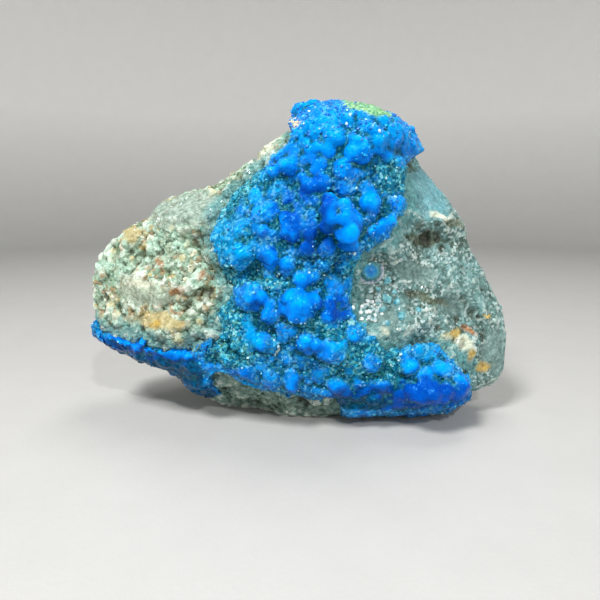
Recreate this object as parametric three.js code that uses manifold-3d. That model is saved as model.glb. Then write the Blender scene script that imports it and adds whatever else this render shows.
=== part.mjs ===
// Allophane on matrix, a loose hand specimen: a broken lump of pale green altered quartz rock with a
// botryoidal crust of blue allophane over its top, down the middle of its front, along its lower left
// rim and over its lower right corner. It rests on a flat foot.
// Millimetres, +Z up, the best side towards -Y. The widest rim of the rock lies in the plane y = 0.

import * as THREE from "three";
import { ImprovedNoise } from "three/addons/math/ImprovedNoise.js";
import { mergeVertices } from "three/addons/utils/BufferGeometryUtils.js";
import Module from "manifold-3d";

const wasm = await Module();
wasm.setup();

// Driving dimensions
const FRONT_SWELL = 6.5; // how far the front stands out from the rim plane
const BACK_SWELL = 13.5;
const SQUARENESS = 0.78; // 1 is a round section from front to back, less is squarer
const ROCK_DETAIL = 11; // how often each edge of the rock's starting solid is split
const SHEET_DETAIL = 8; // the same for the crust's outside, which the lumps cover
const SKIN = 1.2; // height of the thin crust over the rock
const FLATTENING = 0.85; // share that a broken face takes off what stands beyond it
const [KNOB_SIZE, KNOB_HEIGHT] = [3.3, 2];
const [SWELL_SIZE, SWELL_HEIGHT] = [6.1, 1.2];
const [RAGGED_SIZE, RAGGED_REACH] = [3, 2.5]; // how the crust ends behind the rim
const LUMP_DEPTH = 0.9; // depth of a lump against the mean of its width and height
const GAP = 0.3; // clearance between the rock and the crust
const ROUND_FROM = 1.25; // half width from which a lump is a rounder solid
const CRUST_FLOOR = 0.4; // the crust ends this far above the foot
const CRUST_BACK = 1.2; // the crust wraps over the rim about as far as this plane
const CRUST_FRONT = -16; // a plane in front of the whole specimen
const SAME_PLACE = 1e-4; // vertices this close are one
const EYE = new THREE.Vector3(0, -59.6, 23.75); // the places below are as seen from here, on y = 0

// The point that the rim is drawn around
const CORE = new THREE.Vector3(0, 0, 13);

// Rim of the bare rock as [x, z], clockwise from the left end of the top. The foot is cut off at z = 0.
const RIM = [
  [-0.4, 30], [1.6, 31.4], [5, 31.7], [8.4, 30.9], [10.6, 29.2], [11.5, 27.9], [13.2, 26.6],
  [14.2, 24.9], [16, 22.8], [17.7, 19.8], [19, 16.8], [21.3, 13.4], [22.5, 11.3], [22.1, 9],
  [22.8, 7], [22.4, 4.2], [20.6, 2.6], [17.6, 1.8], [13, 1.2], [9, 0], [4, -1.6], [-7.6, -1.6],
  [-9.6, 1.2], [-11.2, 3.8], [-12.6, 6.2], [-16.2, 7], [-19.2, 7.9], [-21.4, 9],
  [-21.6, 10.4], [-22.7, 11.8], [-21.8, 14.6], [-20.6, 17.4], [-18.2, 20.3], [-16.2, 20.4],
  [-13.8, 23.1], [-10.2, 23.5], [-7.8, 24.6], [-5.6, 26.3], [-4, 26.9], [-2.6, 29],
];

// Broken faces: [direction from the core], distance from the core
const FACES = [
  [[-0.42, -0.89, 0.18], 9.6],
  [[0.42, -0.9, 0.12], 9.6],
  [[0.62, -0.55, 0.56], 15.6],
  [[-0.45, -0.62, 0.64], 12.9],
  [[0, -0.62, -0.78], 11.4],
  [[-0.35, -0.55, -0.76], 11.6],
  [[0.3, 0.93, 0.2], 12.2],
  [[-0.62, 0.74, 0.26], 14.2],
  [[0.55, 0.83, -0.1], 13.4],
  [[-0.2, 0.8, -0.56], 12.6],
  [[0.1, 0.72, 0.69], 13.8],
  [[-0.5, 0.6, -0.62], 14],
];

// Relief of the front as [x, z, half width, half height, lift, slope of its long side in degrees]
const RELIEF = [
  [5.5, 29.4, 6.5, 2.6, 2.4, -8], // brow of the apex
  [11, 27.1, 2.4, 1.1, -1.2, -10], // hollow under the brow
  [3.4, 21.5, 4, 6, 1.3, 0], // ridge below it
  [-3, 19.2, 5, 3.2, 0.9, 20],
  [-6, 15.4, 4, 0.9, -0.9, 12], // crevice between the blue lobes
  [-5, 12.8, 2.6, 2.2, 0.9, 0],
  [0.4, 11.8, 3, 2.4, 1.1, 0],
  [4.5, 12.6, 1.1, 2.6, -0.9, 0],
  [5.6, 7, 4.4, 2.2, 1.2, -8],
  [-3.2, 7, 3.6, 2, 1, 0],
  [-3, 1, 8, 1.5, -2.2, 0], // recessed foot
  [14.6, 3.2, 4.6, 2, 1.3, 0], // lower right lobe
  [-15.4, 13.5, 3.2, 1.5, 1.3, -8], // smooth lens
  [-16, 11.5, 4.4, 0.9, -0.9, -6], // seam under the lens
  [-12.4, 11.5, 1.6, 1.1, -1, 0],
  [-14.5, 9.8, 3, 1.2, 0.9, -4],
  [-9.6, 13, 1.4, 1.2, -1.1, 0], // dark hole beside the crust
  [-12, 21.2, 3.6, 1.4, 1.1, 14], // grey shoulder
  [-17.6, 19, 1.1, 1, 1, 0],
  [-13.5, 17, 3.5, 1.6, 0.8, 30],
  [14.8, 20.8, 2, 0.9, 0.9, -12], // lip of the smooth facet
  [13.2, 19.2, 2.4, 1, -0.9, -6],
  [10, 18.4, 2, 1, 0.7, -20],
  [10.7, 13.2, 1.2, 1.1, -0.9, 0], // pit with a tan grain
  [13.4, 12.2, 2.4, 1.1, -0.9, -18], // groove across the right side
  [17.2, 10.9, 2.4, 1.1, -0.9, -18],
  [16.5, 14.5, 3.2, 1.5, 0.8, -35],
  [20.6, 11, 1.3, 1.4, 0.9, 0],
  [11, 9.2, 2.4, 1.2, 0.7, 0],
];

// Edge of the crust as [x, z]
const CRUST_EDGE = [
  [-1.2, 31.2], [0.5, 34.5], [12.7, 34.5], [12.7, 28.3], [11, 27.2], [11, 24], [9.7, 21.2],
  [8.8, 19], [6.8, 18.2], [5.7, 15.4], [5.3, 12.4], [6.2, 9.8], [8.2, 8], [9.8, 5.8], [12.4, 6.8],
  [15, 7.2], [17, 5.6], [18.6, 4], [19.2, 1.4], [18, -1.5], [5, -1.5], [4, 1], [-0.5, 1.5],
  [-5.5, 2], [-8.4, 3.6], [-8.8, 2], [-10.6, 0.6], [-13, 3.4], [-23.4, 6.2], [-23.2, 9.4],
  [-21, 9], [-17.2, 7.9], [-13.4, 7.2], [-9.8, 7.4], [-8.4, 8.8], [-9, 10.6], [-7, 13.4], [-8.6, 16.4],
  [-9.6, 18.8], [-8.4, 21.4], [-6.8, 24], [-4.2, 26.1], [-1.6, 28.2], [-0.4, 29.6],
];

// Lumps of the crust as [x, z, half width, half height, lean in degrees, how far it stands out]
const CAP = [
  [0, 32, 0.9, 0.8], [1.6, 32.5, 1.1, 0.8], [3.4, 32.5, 1.1, 0.8], [5.2, 32.1, 1, 0.8],
  [2.8, 31, 1.1, 0.9], [0.5, 30.6, 1.1, 1], [4.7, 30.7, 1.1, 1], [1.8, 29.6, 1.2, 1.1],
  [3.6, 29.2, 1.2, 1], [6.3, 30.2, 1.2, 1], [7.9, 30.8, 1.1, 0.9], [7.7, 29, 1.3, 1.5, 0, 0.6],
  [9.3, 29.8, 1.2, 1], [11, 29.8, 1, 0.8], [10.6, 28.5, 1.3, 1.1, 0, 0.6], [8.9, 27.5, 1.3, 0.8],
  [5.9, 28.1, 1.5, 1.4, 0, 0.6], [4, 27.4, 1, 1], [1.6, 28, 1.2, 1],
];
const UPPER = [
  [-0.9, 26.5, 2.5, 1, 12, 0.5], [-2.8, 25.1, 1.6, 1], [2.2, 26.2, 1.2, 0.9],
  [4.9, 25.9, 1.2, 1.6, 0, 0.6], [1.8, 24.5, 1.6, 1.2, 0, 0.5], [6.9, 23.9, 1.5, 1.2, 0, 0.5],
  [-1.2, 23.7, 1.6, 1], [-4.1, 23.3, 1.2, 1.1], [-3.2, 21.8, 1.9, 1, 0, 0.5], [-5.7, 22, 1.2, 1.3],
  [0, 22.1, 1.3, 1], [7.3, 21.9, 1.2, 1.8, 0, 0.6], [10, 22.6, 1.3, 1.3], [9, 25, 1.2, 1.2],
  [4.4, 24, 1.1, 1.1],
];
const FINGERS = [
  [3.1, 21.6, 1.1, 2.5, -4, 1.3], [4.9, 20.4, 1.4, 2.6, 10, 1.5], [3.3, 17.8, 1.1, 1.4, 0, 1],
  [8.6, 20.1, 1.8, 1.1, 38, 1], [1.1, 20.2, 1.1, 1.4, 0, 0.6], [1.3, 18.1, 1.2, 1.1],
];
const MIDDLE = [
  [-0.8, 20.2, 1.5, 1.6, 0, 0.5], [-3.8, 19.5, 1.3, 1.2], [-6.2, 17.3, 1.4, 1.4, 0, 0.5],
  [-3.3, 17.3, 1.4, 1.5, 0, 0.5], [-7.6, 19.8, 1, 1.1], [-1.2, 16.4, 1.2, 1.2],
  [0.5, 14.8, 1.8, 1.2, 10, 0.6], [4.9, 15.9, 1, 1], [2.6, 16.2, 1, 1], [3.1, 14.3, 1.1, 1],
  [-5.4, 12.9, 2, 1.7, 0, 0.5], [-2.6, 14, 1.1, 1], [0, 11.8, 2.1, 1.9, 0, 0.6],
  [3, 11.2, 1.8, 1.3, 0, 0.5], [-3, 11, 1.3, 1.3], [-7.7, 10.8, 1, 1.2], [-5.6, 9.7, 1.3, 1.1],
  [4.4, 12.7, 1, 1], [-6.8, 15, 1.1, 0.9],
];
const LOWER = [
  [-3.9, 7.6, 1.5, 1.2, 0, 0.6], [-1.7, 8.7, 1.3, 1.1], [1.1, 7.8, 1.6, 1.3, 0, 0.5],
  [-1.4, 5.9, 1.3, 1.2], [3.6, 6.8, 1.6, 1.5, 0, 0.5], [5.9, 8.8, 1.4, 1.3],
  [7.8, 5.9, 1.5, 1.7, 0, 0.5], [2.1, 4.4, 1.3, 1.2], [4.6, 2.9, 1.4, 1, 10, 0.5],
  [-1, 3.4, 1, 1.8, 0, 0.6], [-3.1, 3.7, 1, 1.7, 0, 0.6], [-5.7, 4.9, 1.4, 1.1],
  [-7.6, 5.8, 1.3, 1], [6.1, 4, 1.2, 1.1], [9, 3, 1.3, 1.4], [-6.5, 7.4, 1.2, 1], [7.6, 1.5, 1.6, 0.9],
];
const LOWER_RIGHT = [
  [12.1, 5.2, 1.4, 1.2, 0, 0.5], [14.1, 5.8, 1.3, 1.1], [15.8, 4.6, 1.5, 1.2, 0, 0.5],
  [13.9, 3.8, 1.3, 1.1], [14.4, 2.1, 2.7, 1.4, 0, 0.5], [17.5, 2.9, 1.3, 1.3],
  [11.4, 2.1, 1.5, 1.4],
];
const LEFT_RIM = [
  [-9.7, 6.2, 1.5, 1], [-12, 6.2, 1.4, 0.9], [-14.6, 6.5, 1.4, 0.9], [-17.1, 7, 1.3, 0.8],
  [-19.3, 7.7, 1.3, 0.7], [-21, 8.4, 1, 0.7], [-10.6, 3.6, 1, 1.2],
];

const noise = new ImprovedNoise();

// Closed solid from a three.js geometry
function solid(geometry) {
  const bare = geometry.clone();
  bare.deleteAttribute("normal");
  bare.deleteAttribute("uv");
  const merged = mergeVertices(bare, SAME_PLACE);
  return new wasm.Manifold(
    new wasm.Mesh({
      numProp: 3,
      vertProperties: merged.attributes.position.array,
      triVerts: new Uint32Array(merged.index.array),
    }),
  );
}

// Flat-shaded three.js geometry from a solid
function geometryOf(body) {
  const mesh = body.getMesh();
  const geometry = new THREE.BufferGeometry();
  geometry.setAttribute("position", new THREE.BufferAttribute(mesh.vertProperties, 3));
  geometry.setIndex(new THREE.BufferAttribute(mesh.triVerts, 1));
  const flat = geometry.toNonIndexed();
  flat.computeVertexNormals();
  return flat;
}

// Distance from the core to the rim, in one direction of the rim plane
function rimReach(cos, sin) {
  let reach = 0;
  RIM.forEach(([x0, z0], i) => {
    const [x1, z1] = RIM[(i + 1) % RIM.length];
    const ax = x0 - CORE.x;
    const az = z0 - CORE.z;
    const ex = x1 - x0;
    const ez = z1 - z0;
    const cross = cos * ez - sin * ex;
    if (cross === 0) return;
    const along = (ax * ez - az * ex) / cross;
    const share = (ax * sin - az * cos) / cross;
    if (along > 0 && share >= 0 && share <= 1) reach = Math.max(reach, along);
  });
  return reach;
}

// Where a point of the front is seen, on the rim plane
function seenAt(point) {
  const nearer = -EYE.y / (point.y - EYE.y);
  return [point.x * nearer, EYE.z + (point.z - EYE.z) * nearer];
}

// How much the relief lifts the front at a place
function reliefAt(x, z) {
  return RELIEF.reduce((sum, [cx, cz, wide, high, lift, slope]) => {
    const turn = THREE.MathUtils.degToRad(slope);
    const along = (x - cx) * Math.cos(turn) + (z - cz) * Math.sin(turn);
    const over = (z - cz) * Math.cos(turn) - (x - cx) * Math.sin(turn);
    return sum + lift * Math.exp(-((along / wide) ** 2) - (over / high) ** 2);
  }, 0);
}

// One point of the rock for a point of the unit ball
function rockPoint(unit) {
  const across = Math.hypot(unit.x, unit.z) || 1e-6;
  const reach = rimReach(unit.x / across, unit.z / across) * across ** SQUARENESS;
  const swell = unit.y < 0 ? FRONT_SWELL : BACK_SWELL;
  const point = new THREE.Vector3(
    (reach * unit.x) / across,
    Math.sign(unit.y) * Math.abs(unit.y) ** SQUARENESS * swell,
    (reach * unit.z) / across,
  );
  for (const [direction, distance] of FACES) {
    const normal = new THREE.Vector3(...direction).normalize();
    const beyond = point.dot(normal) - distance;
    if (beyond > 0) point.addScaledVector(normal, -FLATTENING * beyond);
  }
  point.add(CORE);
  if (unit.y < 0) {
    point.y -= reliefAt(...seenAt(point)) * Math.min(1, -unit.y * 2.5);
  }
  const knob = point.clone().divideScalar(KNOB_SIZE);
  const swelling = point.clone().divideScalar(SWELL_SIZE);
  const knobs = KNOB_HEIGHT * Math.abs(noise.noise(knob.x, knob.y + 11, knob.z));
  const swells = SWELL_HEIGHT * noise.noise(swelling.x, swelling.y, swelling.z + 7);
  const rough = swells + knobs - KNOB_HEIGHT / 4;
  const outward = new THREE.Vector3(unit.x * 0.35, unit.y, unit.z * 0.35);
  return point.addScaledVector(outward, rough);
}

// Surface of the rock, grown outwards by a distance
function rockGeometry(growth, detail = ROCK_DETAIL) {
  const ball = new THREE.IcosahedronGeometry(1, detail);
  ball.deleteAttribute("normal");
  ball.deleteAttribute("uv");
  const rock = mergeVertices(ball, SAME_PLACE);
  const places = rock.attributes.position;
  const point = new THREE.Vector3();
  for (let i = 0; i < places.count; i++) {
    const moved = rockPoint(point.fromBufferAttribute(places, i));
    places.setXYZ(i, moved.x, moved.y, moved.z);
  }
  rock.computeVertexNormals();
  const normals = rock.attributes.normal;
  const normal = new THREE.Vector3();
  for (let i = 0; i < places.count; i++) {
    point.fromBufferAttribute(places, i);
    point.addScaledVector(normal.fromBufferAttribute(normals, i), growth);
    places.setXYZ(i, point.x, point.y, point.z);
  }
  return rock;
}

// A block that takes away everything below a height
function below(height) {
  const depth = 20;
  const block = new THREE.BoxGeometry(80, 80, depth);
  return solid(block.translate(0, 0, height - depth / 2));
}

function matrixSolid() {
  return solid(rockGeometry(0)).subtract(below(0));
}

// The column that the crust's edge cuts out of the front, widening away from the eye
function crustColumn() {
  const edge = new THREE.Shape(CRUST_EDGE.map(([x, z]) => new THREE.Vector2(x, z)));
  const depth = CRUST_BACK - CRUST_FRONT;
  const column = new THREE.ExtrudeGeometry(edge, { depth, bevelEnabled: false });
  column.rotateX(Math.PI / 2).translate(0, CRUST_BACK, 0);
  const places = column.attributes.position;
  for (let i = 0; i < places.count; i++) {
    const [x, z] = [places.getX(i), places.getZ(i)];
    const ragged = RAGGED_REACH * noise.noise(x / RAGGED_SIZE, z / RAGGED_SIZE, 0.5);
    const y = places.getY(i) + (places.getY(i) > 0 ? ragged : 0);
    const spread = (y - EYE.y) / -EYE.y;
    places.setXYZ(i, x * spread, y, EYE.z + (z - EYE.z) * spread);
  }
  return solid(column);
}

// One lump, carried along the line of sight to the rock
function lumpSolid(row, skin, turn) {
  const [x, z, wide, high, lean = 0, proud = 0.35] = row;
  const seen = new THREE.Vector3(x, 0, z);
  const sight = seen.clone().sub(EYE).normalize();
  const hit = new THREE.Raycaster(EYE, sight).intersectObject(skin)[0];
  const place = hit && hit.point.y < CRUST_BACK ? hit.point : seen;
  const nearness = (place.y - EYE.y) / -EYE.y;
  const deep = LUMP_DEPTH * Math.max(0.8, (wide + high) / 2);
  const ball = new THREE.IcosahedronGeometry(1, Math.min(wide, high) > ROUND_FROM ? 1 : 0);
  ball.rotateX(turn).rotateZ(2 * turn);
  ball.scale(wide * nearness, deep, high * nearness);
  ball.rotateY(THREE.MathUtils.degToRad(-lean));
  place.addScaledVector(sight, -proud);
  return solid(ball.translate(place.x, place.y, place.z));
}

function crustSolid() {
  const skin = new THREE.Mesh(rockGeometry(GAP));
  const rows = [CAP, UPPER, FINGERS, MIDDLE, LOWER, LOWER_RIGHT, LEFT_RIM].flat();
  const lumps = rows.map((row, i) => lumpSolid(row, skin, i));
  const sheet = solid(rockGeometry(SKIN, SHEET_DETAIL)).intersect(crustColumn());
  return wasm.Manifold.union([sheet, ...lumps])
    .subtract(solid(rockGeometry(GAP)))
    .subtract(below(CRUST_FLOOR));
}

function piece(name, body, color, roughness) {
  const material = new THREE.MeshStandardMaterial({ color, roughness, metalness: 0 });
  const mesh = new THREE.Mesh(geometryOf(body), material);
  mesh.name = name;
  return mesh;
}

const specimen = new THREE.Group();
specimen.add(piece("matrix", matrixSolid(), 0xa3b5a4, 0.75));
specimen.add(piece("allophane_crust", crustSolid(), 0x0f78e0, 0.3));

// The middle of the foot's box is the origin.
const box = new THREE.Box3().setFromObject(specimen);
const middle = box.getCenter(new THREE.Vector3());
specimen.position.set(-middle.x, -middle.y, -box.min.z);

export default specimen;
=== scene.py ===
import itertools
import math

import bmesh
import bpy
import numpy as np
from mathutils import Euler, Matrix, Vector
from mathutils.bvhtree import BVHTree
from mathutils.kdtree import KDTree


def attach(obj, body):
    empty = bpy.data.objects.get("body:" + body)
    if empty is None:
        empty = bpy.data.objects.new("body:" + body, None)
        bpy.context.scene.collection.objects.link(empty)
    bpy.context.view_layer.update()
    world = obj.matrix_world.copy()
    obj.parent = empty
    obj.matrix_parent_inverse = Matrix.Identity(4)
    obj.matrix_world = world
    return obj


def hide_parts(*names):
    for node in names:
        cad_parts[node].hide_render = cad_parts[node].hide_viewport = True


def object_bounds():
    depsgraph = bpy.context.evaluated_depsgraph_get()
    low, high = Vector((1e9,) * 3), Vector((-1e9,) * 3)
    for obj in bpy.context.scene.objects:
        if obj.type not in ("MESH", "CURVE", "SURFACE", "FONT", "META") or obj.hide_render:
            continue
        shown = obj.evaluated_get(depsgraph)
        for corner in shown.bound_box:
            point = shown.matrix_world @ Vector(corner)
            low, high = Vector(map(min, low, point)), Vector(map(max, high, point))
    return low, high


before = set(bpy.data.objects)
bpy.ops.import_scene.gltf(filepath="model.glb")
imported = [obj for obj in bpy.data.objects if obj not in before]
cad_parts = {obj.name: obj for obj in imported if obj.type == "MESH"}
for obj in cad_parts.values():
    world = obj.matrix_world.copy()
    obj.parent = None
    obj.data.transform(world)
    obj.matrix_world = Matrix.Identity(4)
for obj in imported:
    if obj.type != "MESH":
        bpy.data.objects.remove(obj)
CAD_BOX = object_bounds()

# Everything below is worked out in millimetres and scaled to metres when a piece is finished.
MM = 0.001

# The photograph's viewpoint, in the row frame. Places on the front are given as [x, z] where they
# are seen from here on the rock's widest rim, which is the plane y = RIM_Y.
EYE = np.array([-0.027, -61.21, 23.75])
RIM_Y = -1.61
PITCH = 10.8
LENS = 33.6
SENSOR = 36
PATCH_FADE = 0.75, 1.2  # a patch fades out between these shares of its half sizes
FRONT_FADE = 7, 4  # and every patch fades out towards the back, between these y

FOOT = 0.12  # what is lower than this stays as flat as the solid's foot
ROCK_CLEAR = 0.02  # the rest of the rock stays above this
CRUST_CLEAR = 0.05  # and the crust above this
EASING = 0.6  # how far from the box's faces the shape starts to be held back

ROCK_VOXEL = 0.22
SWELL, DENT = 3.1, 1.3  # sizes of the rock's soft relief
KNOB, GRAIN = 1.6, 0.75  # of its rounded grains
BREAK, CHIP = 1.7, 0.6  # of its broken faces
# Loose grains as (seed, tries, smallest radius, largest radius, side), with side -1 for the left
ROCK_GRAINS = (1, 22000, 0.16, 0.62, -1), (2, 16000, 0.12, 0.3, 1)
PROUD = -0.03  # how far the loose grains stand out, in the terms of cavities()

CRUST_VOXEL = 0.183
PIMPLE, SUGAR = 0.9, 0.42  # sizes of the crust's rounded grains
PLANE, SPARKLE = 1.15, 0.45  # of its flat faces
UNDERSIDE = -0.4  # crust that faces the rock more squarely than this is its hidden side
EDGE_HEIGHT = 0.4  # the crust's edge is where it comes this near to the rock
BURIED = 0.6  # how deep under the rock the crust is sunk where it is cut away
LUMP_TRIES = 9000
CRYSTAL_TRIES, CRYSTAL_GAP = 26000, 0.17


# Repeatable noise

def scramble(cell, seed):
    """A random number from 0 to 1 for each whole-number place."""
    c = cell.astype(np.int64).astype(np.uint32)
    mixed = c[:, 0] * np.uint32(374761393) + c[:, 1] * np.uint32(668265263)
    mixed += c[:, 2] * np.uint32(2246822519) + np.uint32(seed * 97531 % 2**32)
    mixed = (mixed ^ (mixed >> np.uint32(13))) * np.uint32(1274126177)
    mixed = (mixed ^ (mixed >> np.uint32(15))) * np.uint32(2654435761)
    return (mixed ^ (mixed >> np.uint32(16))) / 2**32


def noise(points, size, seed=0):
    """Smooth noise from -1 to 1 with lumps of a size."""
    grid = points / size
    low = np.floor(grid)
    t = grid - low
    t = t * t * (3 - 2 * t)
    total = np.zeros(len(points))
    for corner in itertools.product((0, 1), repeat=3):
        share = np.prod(np.where(corner, t, 1 - t), axis=1)
        total += share * scramble(low + corner, seed)
    return 2 * total - 1


def layered(points, size, seed=0, layers=3):
    return sum(noise(points, size / 2**k, seed + k) / 2**k for k in range(layers))


def cells(points, size, seed=0):
    """For each point's nearest grain: the distance, the grain's random triple and the way from it."""
    grid = points / size
    low = np.floor(grid)
    nearest = np.full(len(points), np.inf)
    way = np.zeros_like(points)
    owner = np.zeros_like(points)
    for shift in itertools.product((-1, 0, 1), repeat=3):
        home = low + shift
        seat = home + np.stack([scramble(home, seed + k) for k in range(3)], axis=1)
        reach = grid - seat
        distance = np.linalg.norm(reach, axis=1)
        closer = distance < nearest
        nearest = np.where(closer, distance, nearest)
        way[closer] = reach[closer]
        owner[closer] = home[closer]
    triple = np.stack([scramble(owner, seed + 7 + k) for k in range(3)], axis=1)
    return nearest, triple, way


def domes(points, size, seed=0):
    """Rounded grains, from 0 in the seams to 1 on the tops."""
    distance, triple, _ = cells(points, size, seed)
    return np.clip(1 - distance**2, 0, 1) * (0.6 + 0.4 * triple[:, 0])


def facets(points, size, seed=0):
    """Flat grain faces that tilt at random, about -0.5 to 0.5."""
    _, triple, way = cells(points, size, seed)
    return np.einsum("ij,ij->i", way, triple - 0.5) + 0.35 * (triple[:, 0] - 0.5)


def ease(values, low, high):
    t = np.clip((values - low) / (high - low), 0, 1)
    return t * t * (3 - 2 * t)


# Meshes

def coordinates(mesh):
    co = np.empty(len(mesh.vertices) * 3, np.float32)
    mesh.vertices.foreach_get("co", co)
    return co.reshape(-1, 3).astype(float)


def vertex_normals(mesh):
    out = np.empty(len(mesh.vertices) * 3, np.float32)
    mesh.vertex_normals.foreach_get("vector", out)
    return out.reshape(-1, 3).astype(float)


def put(mesh, co):
    mesh.vertices.foreach_set("co", co.astype(np.float32).ravel())
    mesh.update()


def smooth(mesh, rounds, strength=0.5):
    edges = np.empty(len(mesh.edges) * 2, np.int32)
    mesh.edges.foreach_get("vertices", edges)
    a, b = edges.reshape(-1, 2).T
    co = coordinates(mesh)
    count = np.bincount(np.concatenate([a, b]), minlength=len(co))[:, None]
    for _ in range(rounds):
        total = np.stack(
            [
                np.bincount(a, co[b, k], len(co)) + np.bincount(b, co[a, k], len(co))
                for k in range(3)
            ],
            axis=1,
        )
        co += strength * (total / np.maximum(count, 1) - co)
    put(mesh, co)


def remeshed(mesh, voxel):
    """A copy of a closed mesh rebuilt from cubes of a size."""
    work = bpy.data.objects.new("work", mesh)
    bpy.context.scene.collection.objects.link(work)
    modifier = work.modifiers.new("remesh", "REMESH")
    modifier.mode = "VOXEL"
    modifier.voxel_size = voxel
    made = work.evaluated_get(bpy.context.evaluated_depsgraph_get())
    out = bpy.data.meshes.new_from_object(made)
    bpy.data.objects.remove(work)
    return out


def copy_of(obj):
    """A copy of an object's mesh, in millimetres."""
    mesh = obj.data.copy()
    mesh.transform(Matrix.Scale(1 / MM, 4))
    return mesh


def solid_copy(node):
    """A copy of the CAD node's mesh, in millimetres."""
    return copy_of(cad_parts[node])


def tree_of(mesh):
    polygons = [tuple(p.vertices) for p in mesh.polygons]
    return BVHTree.FromPolygons([v.co for v in mesh.vertices], polygons)


def nearest_on(tree, points):
    """(signed distance, outward normal) of the surface nearest to each point."""
    distance = np.empty(len(points))
    normal = np.empty((len(points), 3))
    for i, point in enumerate(points):
        place, face_normal, _, _ = tree.find_nearest(Vector(point))
        away = point - np.array(place)
        side = 1 if away @ np.array(face_normal) >= 0 else -1
        distance[i] = side * math.sqrt(away @ away)
        normal[i] = face_normal
    return distance, normal


def crust_perimeter(solid, rock_tree):
    """Tree of the places where the crust's edge meets the rock."""
    co = coordinates(solid)
    height, rock_normal = nearest_on(rock_tree, co)
    found = set()
    for polygon in solid.polygons:
        facing = np.array(polygon.normal) @ rock_normal[polygon.vertices[0]]
        if facing > UNDERSIDE:
            found.update(v for v in polygon.vertices if height[v] < EDGE_HEIGHT)
    tree = KDTree(len(found))
    for v in found:
        tree.insert(co[v], v)
    tree.balance()
    return tree


def distance_to(tree, points):
    return np.array([tree.find(point)[2] for point in points])


def attribute(mesh, name, values):
    layer = mesh.attributes.new(name, "FLOAT", "POINT")
    layer.data.foreach_set("value", np.asarray(values, np.float32))


def seen(points):
    """Where points are seen from the eye, as x and z on the rim plane."""
    k = (RIM_Y - EYE[1]) / (points[:, 1] - EYE[1])
    x = (points[:, 0] - EYE[0]) * k
    z = EYE[2] + (points[:, 2] - EYE[2]) * k
    return x, z


def spots(points, rows, ragged=0.5):
    """Soft-edged patches on the front: 1 inside, 0 outside.

    A row is [x, z, half width, half height, slope in degrees]."""
    x, z = seen(points)
    x = x + ragged * layered(points, 1.7, 31)
    z = z + ragged * layered(points, 1.7, 47)
    out = np.zeros(len(points))
    for cx, cz, wide, high, slope in rows:
        turn = math.radians(slope)
        along = (x - cx) * math.cos(turn) + (z - cz) * math.sin(turn)
        over = (z - cz) * math.cos(turn) - (x - cx) * math.sin(turn)
        reach = np.sqrt((along / wide) ** 2 + (over / high) ** 2)
        out = np.maximum(out, 1 - ease(reach, *PATCH_FADE))
    return out * ease(points[:, 1], *FRONT_FADE)


def cavities(mesh, rounds):
    """How far each vertex lies below (+) or above (-) the smoothed surface around it."""
    co = coordinates(mesh)
    normal = vertex_normals(mesh)
    eased = mesh.copy()
    smooth(eased, rounds, 0.8)
    depth = np.einsum("ij,ij->i", coordinates(eased) - co, normal)
    bpy.data.meshes.remove(eased)
    return depth


def scattered(mesh, count, weight, spacing, seed):
    """Random places on a mesh as (places, normals), thinned out to a spacing.

    weight gives each place a chance from 0 to 1, and spacing may be a number for each place."""
    random = np.random.default_rng(seed)
    mesh.calc_loop_triangles()
    corners = np.empty(len(mesh.loop_triangles) * 3, np.int32)
    mesh.loop_triangles.foreach_get("vertices", corners)
    a, b, c = coordinates(mesh)[corners.reshape(-1, 3)].transpose(1, 0, 2)
    cross = np.cross(b - a, c - a)
    size = np.linalg.norm(cross, axis=1)
    chosen = random.choice(len(size), count, p=size / size.sum())
    u, v = random.random((2, count, 1))
    flip = u + v > 1
    u, v = np.where(flip, 1 - u, u), np.where(flip, 1 - v, v)
    places = a[chosen] + u * (b - a)[chosen] + v * (c - a)[chosen]
    normals = cross[chosen] / size[chosen, None]
    kept = random.random(count) < weight(places)
    places, normals = places[kept], normals[kept]
    gaps = spacing(places) if callable(spacing) else np.full(len(places), spacing)
    grid, out = {}, []
    width = gaps.max()
    for i, (place, gap) in enumerate(zip(places, gaps)):
        home = tuple((place // width).astype(int))
        around = itertools.product(*[(k - 1, k, k + 1) for k in home])
        close = [j for cell in around for j in grid.get(cell, ())]
        if not close or np.min(np.linalg.norm(places[close] - place, axis=1)) >= gap:
            grid.setdefault(home, []).append(i)
            out.append(i)
    return places[out], normals[out]


def ball(rounds):
    """Vertices and faces of a many-sided ball."""
    mesh = bpy.data.meshes.new("ball")
    shape = bmesh.new()
    bmesh.ops.create_icosphere(shape, subdivisions=rounds, radius=1)
    shape.to_mesh(mesh)
    shape.free()
    return coordinates(mesh), np.array([tuple(f.vertices) for f in mesh.polygons])


def grains(places, normals, sizes, seed, rounds=1, rough=0.2, flat=0.8):
    """One mesh of many balls, each roughened, flattened along its normal and turned at random."""
    random = np.random.default_rng(seed)
    vertices, faces = ball(rounds)
    count = len(places)
    spin = random.normal(size=(count, 3, 3))
    turned = np.linalg.qr(spin)[0]
    shape = vertices[None] * (1 + rough * (random.random((count, len(vertices), 1)) - 0.5) * 2)
    shape *= 1 + 0.35 * (random.random((count, 1, 3)) - 0.5)
    shape = np.einsum("nij,nvj->nvi", turned, shape)
    along = np.einsum("nvi,ni->nv", shape, normals)
    shape -= (1 - flat) * along[:, :, None] * normals[:, None, :]
    co = places[:, None] + shape * sizes[:, None, None]
    mirrored = np.linalg.det(turned) < 0
    face = np.where(mirrored[:, None, None], faces[None, :, ::-1], faces[None])
    face = face + (np.arange(count) * len(vertices))[:, None, None]
    mesh = bpy.data.meshes.new("grains")
    mesh.from_pydata(co.reshape(-1, 3), [], face.reshape(-1, 3).tolist())
    mesh.update()
    return mesh


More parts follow.
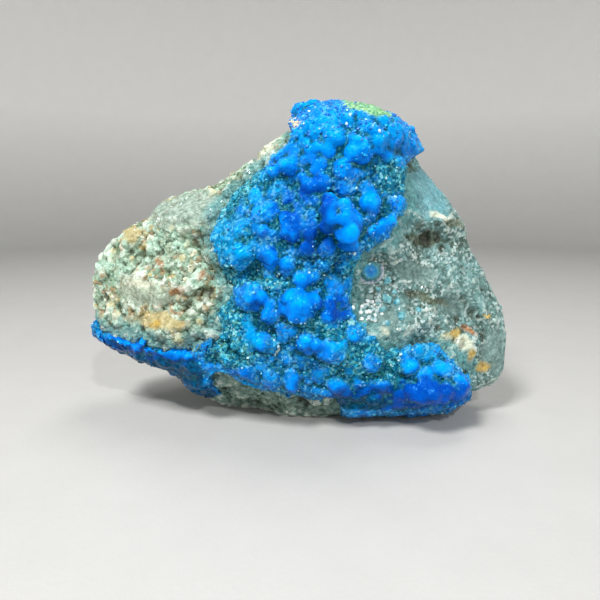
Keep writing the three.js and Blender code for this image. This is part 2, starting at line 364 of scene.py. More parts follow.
def joined(*meshes):
    """One mesh from several."""
    vertices, faces, start = [], [], 0
    for mesh in meshes:
        vertices.append(coordinates(mesh))
        faces += [[v + start for v in p.vertices] for p in mesh.polygons]
        start += len(mesh.vertices)
    out = bpy.data.meshes.new("joined")
    out.from_pydata(np.concatenate(vertices), [], faces)
    out.update()
    return out


def kept_inside(co):
    """Eases what comes near the CAD box's sides and top, so that nothing passes them."""
    low, high = (np.array(corner) / MM for corner in CAD_BOX)
    over = np.maximum(co - (high - EASING), 0)
    under = np.maximum(low + EASING - co, 0)
    under[:, 2] = 0
    held = EASING * (np.exp(-under / EASING) - np.exp(-over / EASING))
    return co - over + under + held


def piece(name, mesh, material):
    """Finishes a mesh in millimetres as a piece of the specimen."""
    put(mesh, kept_inside(coordinates(mesh)))
    mesh.transform(Matrix.Scale(MM, 4))
    mesh.name = name
    mesh.materials.clear()
    mesh.materials.append(material)
    obj = bpy.data.objects.new(name, mesh)
    bpy.context.scene.collection.objects.link(obj)
    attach(obj, "root")
    return obj


# Patches of the front as [x, z, half width, half height, slope in degrees]
ROCK_PATCHES = {
    "lens": [[-16.4, 13.2, 3.4, 1.4, -8]],
    "shoulder": [[-12.2, 21.9, 3.7, 1.7, 12]],
    "facet": [[13.3, 23.8, 2, 3.4, 30]],
    "slab": [
        [21.6, 6.4, 1.4, 2.8, 10], [12.6, 15.2, 2.4, 0.9, -8], [16.4, 12, 1.6, 1.1, -20],
        [9.6, 10, 1, 1.3, 0],
    ],
    "tan": [[-15.6, 10, 3.3, 0.9, -4], [-17.9, 19.5, 1, 0.9, 0]],
    "yellow": [
        [16.5, 8.4, 1.3, 0.7, 20], [20.3, 4.8, 1, 0.7, 0], [-15.6, 9.5, 0.9, 0.4, 0],
        [-13.1, 7.4, 0.6, 0.5, 0], [-9.3, 15.9, 0.7, 0.8, 0], [19, 6.2, 0.4, 0.6, 0],
        [20.6, 10.4, 0.5, 0.3, 0], [-16.4, 18.3, 0.5, 0.4, 0], [12.6, 6.8, 0.7, 0.5, 0],
    ],
    "rust": [
        [-13.1, 13.4, 1.2, 0.4, 15], [-19.6, 9, 1.2, 0.4, -15], [-21, 8.3, 0.5, 0.4, 0],
        [-10.4, 15, 0.6, 0.4, 0], [-15, 16.4, 0.7, 0.4, 0], [-15.2, 8, 0.7, 0.3, 0],
        [18.6, 9, 0.9, 0.4, -30], [-9.8, 6.9, 0.9, 0.3, 0],
    ],
    "cream": [
        [17.8, 7.3, 1.2, 0.9, -20], [14.9, 21.2, 1.2, 0.4, -12], [8.8, 8.9, 1.3, 0.5, -25],
        [-3.4, 28.2, 2.4, 0.6, 52], [-0.9, 31, 0.6, 0.9, 60], [-17, 14.4, 2, 0.4, -4],
    ],
    "olive": [
        [13.3, 18.9, 1.9, 0.7, -6], [16.5, 20.6, 1.2, 0.4, 0], [13.6, 12.7, 2.6, 0.5, -18],
        [-10.3, 13, 1.3, 0.8, 0], [-12.2, 11.7, 1, 0.5, 0], [11, 26.7, 1.5, 0.5, -10],
    ],
    "mint": [[-14.2, 18.2, 3.2, 1.5, 25], [-20.4, 16, 1.4, 2.4, 60], [-11, 14.6, 1.3, 0.8, 0]],
    "sea": [[10.4, 10, 2, 3, 0], [14.5, 25, 1.5, 3, 30], [18.6, 14, 1.6, 4, 30]],
}
POLISHED = ("lens", "shoulder", "facet", "slab")  # smooth, and free of loose grains

# Patches of the crust, in the same terms: granular, cut away, painted shade, smooth and darkened as
# painted shade, chalky, pale, dark blue that is partly painted shade, and green
DRUSE = [
    [-7.8, 12, 1.7, 4.4, 0], [-5, 14.1, 2.8, 1, 5], [6.2, 5.6, 3, 2, -10], [-5.3, 25.2, 5.2, 1, 51],
    [9.9, 25.4, 2.2, 1.4, -10], [6.3, 13.5, 1.3, 4, 0], [-7.6, 6.2, 2.4, 1.8, 0],
    [2.6, 9.2, 2.4, 1, -10], [9.2, 5, 2.2, 2.4, 0],
]
STRIP_TOP = [-16.4, 8.3, 5.8, 1.5, -13]
TRIMMED = [
    STRIP_TOP, [-11.2, 8.2, 1.2, 1, 0], [-22, 9.8, 1.2, 1.3, 0], [-8.6, 2.6, 1.6, 1.1, -16],
    [-5.6, 1.2, 3.4, 1.1, -14],
]
# Painted shade: very dark navy on the underside corner, along the strip's lower edge and along the
# bottom
SHADE_PATCHES = [
    [-12.2, 3, 1.8, 2.6, 0], [-11, 1.2, 1.6, 1.4, 0], [-17, 5.4, 5.4, 0.7, -16], [6, 0.7, 4, 0.8, 0],
]
GLASSY = [[-16.8, 6.6, 5.6, 1.5, -14], [11, 1.4, 8, 1.6, 0]]
CHALK = [[-1.1, 30.8, 1.1, 0.8, 60]]
CYAN = [
    [-7.4, 19.4, 2.2, 3.6, 20], [4.4, 4, 3.4, 1, 0], [9.8, 25.6, 1.8, 1.8, 0], [-3.6, 24.6, 2.4, 1, 40],
    [-6.4, 9, 2.2, 2, 0], [14.4, 6.2, 2.4, 1, -20], [4.6, 7.6, 2, 1, 0], [-3.2, 14.4, 2, 0.8, 0],
]
# The first two rows, along the bottom, are painted shade in the undercut; the others are the crust's own
# deep blue
DEEP_BLUE_AND_SHADE = [
    [15.6, 1.9, 5.4, 1.5, 0], [9, 0.9, 5, 0.9, 0], [0.4, 22.6, 3.2, 2.8, 20], [1.8, 18.8, 2.4, 2.4, 0],
    [4.4, 11.6, 2.4, 1.2, 0], [-2.6, 18.4, 2, 1.2, 0], [-3.6, 6.4, 2.6, 0.9, -10],
]
MOSS = [[7, 32.5, 3, 0.7, -12]]

# Small grown pieces on the front as [x, z, radius], and for the spherules the radius of their group
NODULE = [7.5, 15.6, 1.5]
SPHERULES = [7.8, 11.7, 1.7]
SPHERULE_COUNT = 60
SHARDS = [
    [9.4, 14.5, 0.45], [10.5, 12.2, 0.45], [11.1, 10.6, 0.55], [9.3, 12.6, 0.5], [8.9, 11.3, 0.4],
    [9.6, 9.8, 0.4], [5.6, 9.9, 0.45], [10.2, 13.3, 0.3], [12.9, 11.3, 0.35], [8.4, 13.6, 0.35],
]
NODULE_LOOK, SHARD_LOOK, SPHERULE_LOOK = 0.0, 0.4, 1.0  # values of the attribute "white"


# Materials

def tone(red, green, blue):
    """Linear colour from screen values of 0 to 255."""
    linear = [
        ((v / 255 + 0.055) / 1.055) ** 2.4 if v > 10 else v / 255 / 12.92
        for v in (red, green, blue)
    ]
    return (*linear, 1)


class Surface:
    """A Principled material and the nodes that feed it."""

    def __init__(self, name):
        self.material = bpy.data.materials.new(name)
        self.material.use_nodes = True
        self.tree = self.material.node_tree
        self.shader = self.tree.nodes["Principled BSDF"]
        place = self.add("ShaderNodeTexCoord").outputs["Object"]
        self.place = self.add(
            "ShaderNodeVectorMath", {0: place, "Scale": 1 / MM}, operation="SCALE"
        ).outputs[0]

    def add(self, kind, inputs=None, **settings):
        node = self.tree.nodes.new(kind)
        for key, value in settings.items():
            setattr(node, key, value)
        for key, value in (inputs or {}).items():
            if isinstance(value, bpy.types.NodeSocket):
                self.tree.links.new(value, node.inputs[key])
            else:
                node.inputs[key].default_value = value
        return node

    def set(self, **values):
        for key, value in values.items():
            socket = self.shader.inputs[key.replace("_", " ")]
            if isinstance(value, bpy.types.NodeSocket):
                self.tree.links.new(value, socket)
            else:
                socket.default_value = value

    def value(self, name):
        return self.add("ShaderNodeAttribute", attribute_name=name).outputs["Fac"]

    def noise(self, size, detail=4, roughness=0.6):
        node = self.add(
            "ShaderNodeTexNoise",
            {"Vector": self.place, "Scale": 1 / size, "Detail": detail, "Roughness": roughness},
        )
        return node.outputs["Fac"]

    def grains(self, size):
        return self.add("ShaderNodeTexVoronoi", {"Vector": self.place, "Scale": 1 / size})

    def grain_tint(self, size):
        """A random value for each grain, spread over 0 to 1."""
        return self.remap(self.grains(size).outputs["Color"], 0.22, 0.78)

    def spread(self, value):
        """A noise's values spread over 0 to 1."""
        return self.remap(value, 0.35, 0.65)

    def ramp(self, factor, *stops):
        node = self.add("ShaderNodeValToRGB", {"Fac": factor})
        elements = node.color_ramp.elements
        while len(elements) < len(stops):
            elements.new(1)
        for element, (position, color) in zip(elements, stops):
            element.position = position
            element.color = color
        return node.outputs["Color"]

    def math(self, operation, a, b):
        return self.add("ShaderNodeMath", {0: a, 1: b}, operation=operation).outputs[0]

    def remap(self, value, low, high, to_low=0.0, to_high=1.0):
        node = self.add(
            "ShaderNodeMapRange",
            {"Value": value, "From Min": low, "From Max": high, "To Min": to_low, "To Max": to_high},
        )
        return node.outputs["Result"]

    def mix(self, factor, a, b, mode="MIX"):
        node = self.add("ShaderNodeMix", {0: factor, 6: a, 7: b}, data_type="RGBA", blend_type=mode)
        return node.outputs[2]

    def facets(self, size):
        """Height of flat grain faces that tilt at random."""
        voronoi = self.grains(size)
        way = self.add(
            "ShaderNodeVectorMath", {0: self.place, 1: voronoi.outputs["Position"]}, operation="SUBTRACT"
        )
        tilt = self.add(
            "ShaderNodeVectorMath",
            {0: voronoi.outputs["Color"], 1: (0.5, 0.5, 0.5)},
            operation="SUBTRACT",
        )
        dot = self.add(
            "ShaderNodeVectorMath", {0: way.outputs[0], 1: tilt.outputs[0]}, operation="DOT_PRODUCT"
        )
        return dot.outputs["Value"]

    def bump(self, height, strength, under=None):
        inputs = {"Height": height, "Distance": MM, "Strength": strength}
        if under is not None:
            inputs["Normal"] = under
        return self.add("ShaderNodeBump", inputs).outputs["Normal"]


# Tints of the rock's patches as (mask, strength, dark tone, light tone)
ROCK_TINTS = [
    ("foot", 0.9, (58, 94, 88), (146, 174, 158)),
    ("sea", 0.45, (84, 132, 134), (132, 176, 172)),
    ("mint", 0.6, (142, 188, 164), (198, 230, 210)),
    ("shoulder", 0.85, (78, 106, 90), (186, 204, 192)),
    ("lens", 0.85, (136, 150, 118), (198, 212, 196)),
    ("facet", 0.8, (48, 108, 118), (124, 186, 196)),
    ("slab", 0.8, (66, 98, 94), (136, 166, 160)),
    ("tan", 0.85, (168, 150, 92), (206, 192, 140)),
    ("cream", 0.8, (190, 192, 160), (228, 232, 212)),
    ("olive", 0.7, (66, 72, 48), (104, 112, 80)),
    ("yellow", 0.85, (168, 128, 34), (214, 186, 92)),
    ("rust", 0.85, (112, 62, 22), (196, 132, 62)),
    ("teal", 0.85, (36, 98, 108), (112, 176, 172)),
]


def rock_material(name="host_rock"):
    s = Surface(name)
    broad = s.noise(2.6, 4, 0.6)
    fine = s.noise(0.45, 6, 0.75)
    mottled = s.spread(fine)
    cavity = s.value("cavity")
    left = s.ramp(
        broad,
        (0.32, tone(116, 124, 82)),
        (0.45, tone(144, 172, 144)),
        (0.58, tone(186, 208, 188)),
        (0.7, tone(204, 196, 168)),
    )
    left_grain = s.ramp(
        s.grain_tint(0.6),
        (0.0, tone(84, 100, 66)),
        (0.3, tone(140, 176, 152)),
        (0.6, tone(186, 218, 198)),
        (0.8, tone(232, 236, 224)),
        (0.9, tone(206, 186, 118)),
        (0.98, tone(160, 112, 56)),
    )
    right = s.ramp(
        broad,
        (0.34, tone(68, 86, 66)),
        (0.46, tone(84, 118, 112)),
        (0.58, tone(98, 140, 138)),
        (0.7, tone(128, 162, 158)),
    )
    right_grain = s.ramp(
        s.grain_tint(0.27),
        (0.0, tone(56, 82, 76)),
        (0.35, tone(78, 116, 112)),
        (0.6, tone(110, 150, 148)),
        (0.82, tone(144, 178, 176)),
        (0.96, tone(210, 228, 226)),
    )
    color = s.mix(s.value("right"), s.mix(0.6, left, left_grain), s.mix(0.55, right, right_grain))
    for mask, amount, low, high in ROCK_TINTS:
        inked = s.math("MULTIPLY", s.value(mask), amount)
        color = s.mix(inked, color, s.mix(mottled, tone(*low), tone(*high)))
    # Painted shade: the colour is darkened towards olive-brown where the cavity attribute puts the
    # surface in a crevice.
    crevice_shade = s.mix(1, color, tone(100, 98, 68), "MULTIPLY")
    color = s.mix(s.remap(cavity, 0.0, 0.13, 0, 0.9), color, crevice_shade)
    # Painted highlight: where the surface stands above its smoothed self, the colour is lightened
    # towards pale grey-green.
    color = s.mix(s.remap(cavity, -0.04, -0.16, 0, 0.5), color, tone(232, 238, 226))
    glint = s.remap(s.grains(0.24).outputs["Color"], 0.68, 0.76)
    normal = s.bump(s.facets(0.6), 0.4)
    normal = s.bump(s.facets(0.24), s.remap(s.value("right"), 0, 1, 0.9, 0.3), normal)
    s.set(
        Base_Color=color,
        Roughness=s.remap(glint, 0, 1, 0.62, 0.16),
        Normal=normal,
        Subsurface_Weight=0.12,
        Subsurface_Radius=(0.4, 0.5, 0.4),
        Subsurface_Scale=MM,
        IOR=1.54,
    )
    return s.material


def crust_material():
    s = Surface("allophane")
    broad = s.noise(1.7, 3, 0.5)
    fine = s.noise(0.4, 5, 0.7)
    mottled = s.spread(fine)
    grain = s.grain_tint(0.25)
    granular = s.value("druse")
    # Painted light and shade: the blue runs from a shaded dark blue to a lit bright blue by the painted
    # top light, with broad noise as random tone
    lit_tone = s.math("ADD", s.value("top_light"), s.remap(broad, 0.3, 0.7, -0.22, 0.22))
    blue = s.ramp(
        lit_tone,
        (0.1, tone(0, 58, 128)),
        (0.35, tone(0, 88, 182)),
        (0.6, tone(0, 114, 214)),
        (0.8, tone(0, 132, 232)),
        (1.0, tone(0, 154, 242)),
    )
    cyan = s.mix(mottled, tone(0, 122, 190), tone(0, 166, 222))
    paled = s.math("MULTIPLY", s.value("cyan"), s.remap(broad, 0.25, 0.6, 0.3, 0.9))
    color = s.mix(paled, blue, cyan)
    # Partly real, partly painted shade: darker blue on the deep patches, which along the bottom stand
    # for the undercut's shade
    color = s.mix(s.value("deep"), color, s.mix(broad, tone(0, 46, 136), tone(0, 90, 202)))
    # Painted shade: very dark navy on the shaded underside patches
    color = s.mix(s.value("painted_shade"), color, s.mix(mottled, tone(2, 34, 60), tone(6, 88, 136)))
    druse = s.ramp(
        grain,
        (0.0, tone(20, 92, 116)),
        (0.3, tone(18, 116, 156)),
        (0.55, tone(34, 144, 188)),
        (0.72, tone(88, 148, 132)),
        (0.86, tone(44, 164, 192)),
        (0.98, tone(120, 198, 210)),
    )
    color = s.mix(granular, color, druse)
    moss = s.mix(grain, tone(86, 144, 104), tone(150, 198, 142))
    color = s.mix(s.value("moss"), color, moss)
    chalk = s.mix(fine, tone(176, 160, 104), tone(236, 232, 214))
    color = s.mix(s.value("chalk"), color, chalk)
    # Partly real, partly painted shade: in the seams the colour turns to the teal druse tone, darkened
    # by multiplying where cavity is high
    shaded_seam = s.mix(1, druse, s.mix(broad, tone(88, 160, 190), tone(150, 168, 140)), "MULTIPLY")
    color = s.mix(s.remap(s.value("cavity"), 0.0, 0.1, 0, 0.92), color, shaded_seam)
    normal = s.bump(s.facets(0.5), s.remap(granular, 0, 1, 0.12, 0.5))
    normal = s.bump(s.facets(0.2), s.remap(granular, 0, 1, 0.2, 0.8), normal)
    s.set(
        Base_Color=color,
        Roughness=s.remap(fine, 0.3, 0.7, 0.16, 0.32),
        Normal=normal,
        Subsurface_Weight=0.15,
        Subsurface_Radius=(0.05, 0.25, 0.6),
        Subsurface_Scale=MM,
        Specular_IOR_Level=0.3,
        Specular_Tint=(0.1, 0.7, 1, 1),
        IOR=1.48,
    )
    return s.material


def crystal_material():
    """Tiny glossy grains, each with a tint of its own."""
    s = Surface("allophane_druse")
    tint = s.value("tint")
    on_blue = s.ramp(
        tint,
        (0.0, tone(0, 106, 192)),
        (0.5, tone(0, 138, 214)),
        (0.85, tone(30, 174, 226)),
        (1.0, tone(214, 242, 248)),
    )
    on_teal = s.ramp(
        tint,
        (0.0, tone(16, 104, 126)),
        (0.5, tone(28, 138, 158)),
        (0.85, tone(76, 176, 190)),
        (1.0, tone(190, 226, 228)),
    )
    s.set(
        Base_Color=s.mix(s.value("druse"), on_blue, on_teal),
        Roughness=s.remap(tint, 0, 1, 0.4, 0.1),
        Normal=s.bump(s.facets(0.12), 0.3),
        IOR=1.5,
    )
    return s.material


def bead_material():
    s = Surface("white_allophane")
    look = s.value("white")
    rings = s.math("ADD", s.value("ring"), s.remap(s.noise(0.5, 4), 0.3, 0.7, -0.1, 0.1))
    nodule = s.ramp(
        rings,
        (0.1, tone(0, 112, 190)),
        (0.32, tone(14, 134, 190)),
        (0.5, tone(74, 140, 146)),
        (0.7, tone(56, 104, 112)),
        (0.86, tone(186, 188, 200)),
    )
    white = s.mix(s.remap(s.noise(0.5, 4), 0.4, 0.6), tone(112, 168, 174), tone(244, 248, 244))
    turquoise = s.mix(s.spread(s.noise(0.4, 4)), tone(52, 136, 158), tone(150, 214, 216))
    is_shard = s.math("LESS_THAN", look, (SHARD_LOOK + SPHERULE_LOOK) / 2)
    is_small = s.math("GREATER_THAN", look, (NODULE_LOOK + SHARD_LOOK) / 2)
    s.set(
        Base_Color=s.mix(is_small, nodule, s.mix(is_shard, white, turquoise)),
        Roughness=s.remap(s.noise(0.25, 4), 0.3, 0.7, 0.15, 0.4),
        Normal=s.bump(s.facets(0.2), 0.3),
        IOR=1.48,
    )
    return s.material


# Pieces

def keep_foot(before, after):
    """Holds the foot flat and everything else above it."""
    foot = before[:, 2] < FOOT
    after[foot] = before[foot]
    after[~foot, 2] = np.maximum(after[~foot, 2], ROCK_CLEAR)
    return after


def rock_masks(co, crust_tree):
    """The rock's patches, its fine-grained right side, its teal rim round the crust and its foot."""
    x, z = seen(co)
    near, _ = nearest_on(crust_tree, co)
    ragged = 0.9 * layered(co, 2.2, 5)
    masks = {name: spots(co, rows, 0.45) for name, rows in ROCK_PATCHES.items()}
    behind = ease(co[:, 1], 2, 5) * ease(layered(co, 6, 51), -0.2, 0.3)
    masks["right"] = np.maximum(ease(x + ragged, 2, 5), 0.8 * behind)
    masks["teal"] = (1 - ease(np.abs(near) + ragged, 0.5, 2)) * ease(co[:, 1], 4, 0)
    masks["foot"] = ease(z, 4.8, 3.4) * ease(x, 9, 6) * ease(x, -12, -10.5)
    masks["teal"] *= 1 - 0.8 * masks["foot"]
    return masks


def rock(crust_tree):
    mesh = remeshed(solid_copy("matrix"), ROCK_VOXEL)
    before = coordinates(mesh)
    smooth(mesh, 8)
    co = coordinates(mesh)
    masks = rock_masks(co, crust_tree)
    knobby = (1 - masks["right"]) * (0.35 + 0.65 * ease(co[:, 1], 5, 1))
    polished = np.max([masks[name] for name in (*POLISHED, "tan")], axis=0)
    coarse, fine = 0.45 * knobby + 0.08, 0.28 * knobby + 0.1
    relief = 0.3 * noise(co, SWELL, 3) + 0.18 * noise(co, DENT, 9)
    relief += coarse * domes(co, KNOB, 11) + fine * domes(co, GRAIN, 17)
    relief += 0.2 * facets(co, BREAK, 23) + 0.16 * facets(co, CHIP, 29)
    relief = relief * (1 - 0.72 * polished) + 0.36 * knobby * polished - 0.12 * masks["olive"] - 0.25
    put(mesh, keep_foot(before, co + vertex_normals(mesh) * relief[:, None]))
    masks["cavity"] = cavities(mesh, 14) * (1 - 0.8 * polished)
    for name, values in masks.items():
        attribute(mesh, name, values)
    obj = piece("rock", mesh, rock_material())
    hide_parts("matrix")
    return obj


def rock_grains(surface, crust_tree):
    """Sugary grains over the rock, coarse on the left and fine on the right."""
    meshes = []
    for seed, tries, low, high, side in ROCK_GRAINS:

        def weight(places):
            x, _ = seen(places)
            half = 1 - ease(x, 0, 6) if side < 0 else ease(x, -2, 4)
            rough = ease(layered(places, 2.5, 90 + seed), -0.5, 0.3)
            front = ease(places[:, 1], 7, 0)
            smooth_parts = [spots(places, ROCK_PATCHES[name]) for name in POLISHED]
            wanted = half * rough * front * (1 - np.max(smooth_parts, axis=0))
            over_strip = (side < 0) * spots(places, [STRIP_TOP], 0.2)
            return np.maximum(wanted, over_strip) * (places[:, 2] > 1)

        places, normals = scattered(surface, tries, weight, low * 0.9, seed)
        random = np.random.default_rng(seed + 10)
        sizes = low + (high - low) * random.random(len(places)) ** 3
        places = places - normals * (0.35 * sizes)[:, None]
        meshes.append(grains(places, normals, sizes, seed))
    mesh = joined(*meshes)
    co = coordinates(mesh)
    for name, values in rock_masks(co, crust_tree).items():
        attribute(mesh, name, values)
    attribute(mesh, "cavity", np.full(len(co), PROUD))
    return piece("rock_grains", mesh, rock_material("rock_grains"))


def druse_share(co, height):
    """Where the crust is granular and teal rather than in blue lobes."""
    low = 1 - ease(height + 0.3 * layered(co, 1.6, 83), 1.3, 1.9)
    patch = spots(co, DRUSE, 0.8)
    return np.clip(patch * (0.25 + 0.75 * low) + 0.5 * low * ease(co[:, 2], 28, 24), 0, 1)


def crust_lumps(solid, rim, rock_tree):
    """Rounded lumps in the hollows between the solid's own, smaller on the cap and near its edge."""

    def radius(places):
        _, z = seen(places)
        inside = ease(distance_to(rim, places), 0, 2.5)
        broad = 0.5 + 0.5 * layered(places, 3, 61)
        small = 0.12 * ease(z, 26, 29) + 0.25 * spots(places, DRUSE, 0.8)
        return np.clip((0.5 + 0.6 * broad) * (0.5 + 0.5 * inside) - small, 0.3, 1)

    def weight(places):
        height, _ = nearest_on(rock_tree, places)
        own = ease(height, 1.6, 2.1) * (1 - ease(places[:, 2], 27, 29))
        return (1 - 0.9 * own) * (places[:, 1] < 3)

    places, normals = scattered(solid, LUMP_TRIES, weight, lambda p: 1.15 * radius(p), 3)
    sizes = radius(places)
    places = places - normals * (0.5 * sizes)[:, None]
    return grains(places, normals, sizes, 4, rounds=3, rough=0, flat=0.9)


def crust(rock_tree):
    solid = solid_copy("allophane_crust")
    rim = crust_perimeter(solid, rock_tree)
    eased = remeshed(solid, CRUST_VOXEL)
    smooth(eased, 8)
    mesh = remeshed(joined(eased, crust_lumps(solid, rim, rock_tree)), CRUST_VOXEL)
    smooth(mesh, 3)
    co = coordinates(mesh)
    height, rock_normal = nearest_on(rock_tree, co)
    cap = ease(co[:, 2], 25, 28) * ease(co[:, 1], 6, 2)
    inside = np.maximum(ease(distance_to(rim, co), 0.1, 3), cap)
    thinned = np.maximum(height - 0.3, 0) * (0.75 - 0.4 * ease(co[:, 2], 24, 28)) * (1 - inside)
    sunk = 0.8 * ease(height, 1, 0.3) + thinned
    out = ease(height, 0.4, 0.9)
    trimmed = spots(co, TRIMMED, 0.2)
    glassy = spots(co, GLASSY + SHADE_PATCHES, 0.4)
    druse = druse_share(co, height) * (1 - glassy)
    relief = 0.1 * domes(co, PIMPLE, 41) + (0.03 + 0.16 * druse) * domes(co, SUGAR, 43) - 0.05
    relief += (0.06 + 0.1 * druse) * facets(co, SPARKLE, 53)
    relief += 0.2 * (1 - druse) * facets(co, PLANE, 57)
    co = co + vertex_normals(mesh) * (relief * out)[:, None] - rock_normal * sunk[:, None]
    co[:, 1] += 1.7 * (height + BURIED) * trimmed
    frayed = 1 - ease(distance_to(rim, co) + 1.3 * layered(co, 2.6, 73), 0.9, 1.5)
    co -= rock_normal * ((height + BURIED) * frayed * ease(co[:, 1], -2.2, -0.8))[:, None]
    co[:, 2] = np.maximum(co[:, 2], CRUST_CLEAR)
    put(mesh, co)
    cavity = cavities(mesh, 30)
    fading = 1 - ease(distance_to(rim, co) + 0.9 * layered(co, 1.6, 71), 0.1, 1.6)
    chalk_depth = co[:, 1] + 1.5 * layered(co, 1.4, 79)
    moss_depth = co[:, 1] + 2 * layered(co, 3, 77)
    x, z = seen(co)
    masks = {
        "cavity": cavity,
        # Painted light and shade: higher where the surface faces up or bulges, lower in hollows and on
        # the glassy and shaded patches
        "top_light": np.clip(0.5 + 0.25 * vertex_normals(mesh)[:, 2] - 1.2 * cavity - 0.4 * glassy, 0, 1),
        "druse": np.maximum(druse, 0.7 * fading * ease(x, -12, -9) * (1 - glassy)),
        "cyan": np.maximum(0.85 * ease(z, 27, 30), spots(co, CYAN, 0.8)),
        "deep": spots(co, DEEP_BLUE_AND_SHADE, 0.9) * (1 - druse),
        "painted_shade": spots(co, SHADE_PATCHES, 0.5),
        "chalk": spots(co, CHALK, 0.5) * ease(chalk_depth, -2.5, -4.5),
        "moss": spots(co, MOSS, 0.5) * ease(z, 30.6, 31.2) * ease(moss_depth, 0.5, -1),
    }
    for name, values in masks.items():
        attribute(mesh, name, values)
    obj = piece("allophane", mesh, crust_material())
    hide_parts("allophane_crust")
    return obj


def crust_druse(surface, rock_tree):
    """Glinting crystals on the granular patches, the cap and the tops of some lobes."""

    def share(places):
        height, _ = nearest_on(rock_tree, places)
        return druse_share(places, height)

    def weight(places):
        _, z = seen(places)
        sugared = 0.35 * ease(layered(places, 1.5, 97), 0.35, 0.75)
        cap = 0.6 * ease(z, 28, 31)
        bare = 0.92 * spots(places, MOSS + SHADE_PATCHES + GLASSY, 0.4)
        wanted = np.max([0.55 * share(places), sugared, cap], axis=0) * (1 - bare)
        return wanted * (places[:, 1] < 2) * (places[:, 2] > 0.5)

    places, normals = scattered(surface, CRYSTAL_TRIES, weight, CRYSTAL_GAP, 21)
    random = np.random.default_rng(22)
    sizes = 0.07 + 0.13 * random.random(len(places)) ** 2
    mesh = grains(places, normals, sizes, 23, rough=0.3, flat=1)
    corners = len(mesh.vertices) // len(places)
    attribute(mesh, "tint", np.repeat(random.random(len(places)) ** 2.4, corners))
    attribute(mesh, "druse", np.repeat(share(places), corners))
    return piece("crust_druse", mesh, crystal_material())


def grown_on(trees, x, z):
    """The place and outward way of the surface that is seen at x and z."""
    sight = (Vector((EYE[0] + x, RIM_Y, z)) - Vector(EYE)).normalized()
    hits = [hit for hit in (tree.ray_cast(Vector(EYE), sight) for tree in trees) if hit[0]]
    place, normal, _, _ = min(hits, key=lambda hit: hit[3])
    return np.array(place), np.array(normal)


def beads(trees):
    """The ringed nodule, the white spherules below it and the turquoise shards beside them."""
    random = np.random.default_rng(31)
    x, z, spread = SPHERULES
    around = random.normal(size=(SPHERULE_COUNT, 2)) * spread * 0.55
    spherules = [[x + dx, z + dz, 0.09 + 0.15 * random.random()] for dx, dz in around]
    rows = [NODULE] + spherules + SHARDS
    found = [grown_on(trees, x, z) for x, z, _ in rows]
    places = np.array([place for place, _ in found])
    normals = np.array([normal for _, normal in found])
    sizes = np.array([radius for _, _, radius in rows])
    places[0] -= 0.25 * sizes[0] * normals[0]
    ends = (0, 1, 1 + len(spherules), len(rows))
    # How each kind is made, as (subdivisions, roughness, thickness, value of "white")
    kinds = (4, 0.02, 0.55, NODULE_LOOK), (3, 0.02, 0.8, SPHERULE_LOOK), (1, 0.3, 0.7, SHARD_LOOK)
    meshes, rings, whites = [], [], []
    for start, end, (rounds, rough, flat, white) in zip(ends, ends[1:], kinds):
        part = slice(start, end)
        mesh = grains(places[part], normals[part], sizes[part], 32, rounds, rough, flat)
        co = coordinates(mesh)
        corners = len(co) // (end - start)
        away = co - np.repeat(places[part], corners, axis=0)
        rise = np.einsum("ij,ij->i", away, np.repeat(normals[part], corners, axis=0))
        across = np.sqrt(np.maximum((away**2).sum(axis=1) - rise**2, 0))
        meshes.append(mesh)
        rings.append(across / np.repeat(sizes[part], corners))
        whites.append(np.full(len(co), white))
    mesh = joined(*meshes)
    ring = np.concatenate(rings)
    white = np.concatenate(whites)
    co = coordinates(mesh)
    grooved = 0.06 * np.cos(14 * ring) + 0.07 * domes(co, 0.4, 33)
    put(mesh, co + vertex_normals(mesh) * (grooved * (white == NODULE_LOOK))[:, None])
    attribute(mesh, "ring", ring)
    attribute(mesh, "white", white)
    return piece("beads", mesh, bead_material())


# Stage, lights and camera

FLOOR, BEND, WALL = 210, 90, 250  # radius of the floor and of its bend, and height of the wall
WALL_LIGHT_HEIGHT = 70  # the paper grows paler up to this height, as painted light on the wall
SEGMENTS, BEND_RINGS = 72, 20


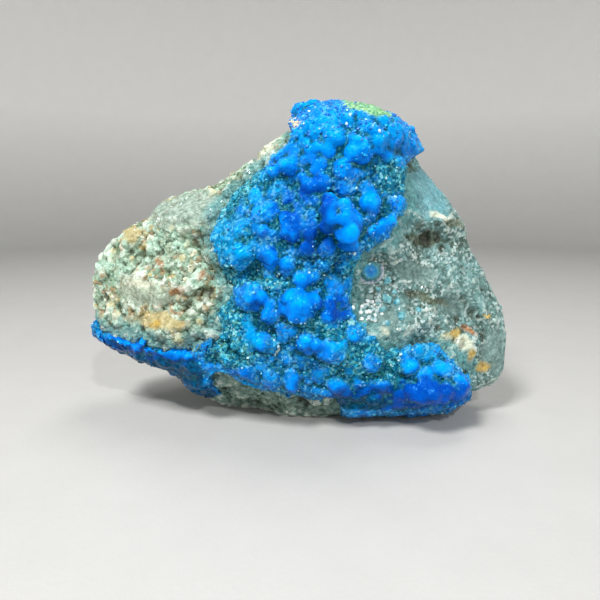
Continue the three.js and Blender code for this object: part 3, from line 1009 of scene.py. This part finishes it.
def backdrop():
    """A pale floor that curves up into a round wall, the same from every side."""
    turns = np.linspace(0, math.pi / 2, BEND_RINGS)
    profile = [(0.01, 0)] + [(FLOOR + BEND * math.sin(a), BEND - BEND * math.cos(a)) for a in turns]
    profile.append((FLOOR + BEND, WALL))
    angles = np.linspace(0, 2 * math.pi, SEGMENTS, endpoint=False)
    vertices = [(r * math.cos(a), r * math.sin(a), z) for r, z in profile for a in angles]
    faces = [
        (
            r * SEGMENTS + c,
            r * SEGMENTS + (c + 1) % SEGMENTS,
            (r + 1) * SEGMENTS + (c + 1) % SEGMENTS,
            (r + 1) * SEGMENTS + c,
        )
        for r in range(len(profile) - 1)
        for c in range(SEGMENTS)
    ]
    mesh = bpy.data.meshes.new("backdrop")
    mesh.from_pydata(vertices, [], faces)
    mesh.transform(Matrix.Scale(MM, 4))
    mesh.polygons.foreach_set("use_smooth", [True] * len(faces))
    s = Surface("paper")
    height = s.add("ShaderNodeSeparateXYZ", {0: s.place}).outputs["Z"]
    # Painted light: the paper grows paler with height, standing in for lamp light that falls off before
    # it reaches the wall
    rise = s.remap(height, 0, WALL_LIGHT_HEIGHT)
    darker = s.mix(rise, tone(182, 181, 178), tone(240, 239, 236))
    lighter = s.mix(rise, tone(190, 189, 186), tone(246, 245, 242))
    s.set(
        Base_Color=s.mix(s.noise(6, 5), darker, lighter),
        Roughness=0.85,
        Normal=s.bump(s.noise(0.4, 3), 0.05),
    )
    mesh.materials.append(s.material)
    obj = bpy.data.objects.new("backdrop", mesh)
    bpy.context.scene.collection.objects.link(obj)


def lamp(name, place, target, size, power):
    data = bpy.data.lights.new(name, "AREA")
    data.size = size * MM
    data.energy = power
    obj = bpy.data.objects.new(name, data)
    bpy.context.scene.collection.objects.link(obj)
    obj.location = Vector(place) * MM
    way = Vector(target) - Vector(place)
    obj.rotation_euler = way.to_track_quat("-Z", "Y").to_euler()


def lights():
    middle = (0, 0, 15)
    lamp("key", (-70, -110, 180), middle, 50, 0.46)
    lamp("fill", (150, -130, 70), middle, 110, 0.07)
    lamp("top_light", (30, 50, 210), middle, 90, 0.15)
    lamp("spark", (40, -150, 130), middle, 8, 0.13)
    world = bpy.data.worlds.new("studio")
    bpy.context.scene.world = world
    world.use_nodes = True
    background = world.node_tree.nodes["Background"]
    background.inputs["Color"].default_value = (0.9, 0.95, 1, 1)
    background.inputs["Strength"].default_value = 0.14


def camera():
    data = bpy.data.cameras.new("camera")
    data.lens = LENS
    data.sensor_width = SENSOR
    data.clip_start = 0.001
    data.clip_end = 10
    obj = bpy.data.objects.new("camera", data)
    bpy.context.scene.collection.objects.link(obj)
    obj.location = Vector(EYE) * MM
    obj.rotation_euler = Euler((math.radians(90 - PITCH), 0, 0))
    bpy.context.scene.camera = obj


bpy.context.scene.view_settings.view_transform = "Standard"
rock_solid = tree_of(solid_copy("matrix"))
crust_solid = tree_of(solid_copy("allophane_crust"))
rock_mesh = copy_of(rock(crust_solid))
rock_grains(rock_mesh, crust_solid)
crust_mesh = copy_of(crust(rock_solid))
crust_druse(crust_mesh, rock_solid)
beads([tree_of(rock_mesh), tree_of(crust_mesh)])
backdrop()
lights()
camera()
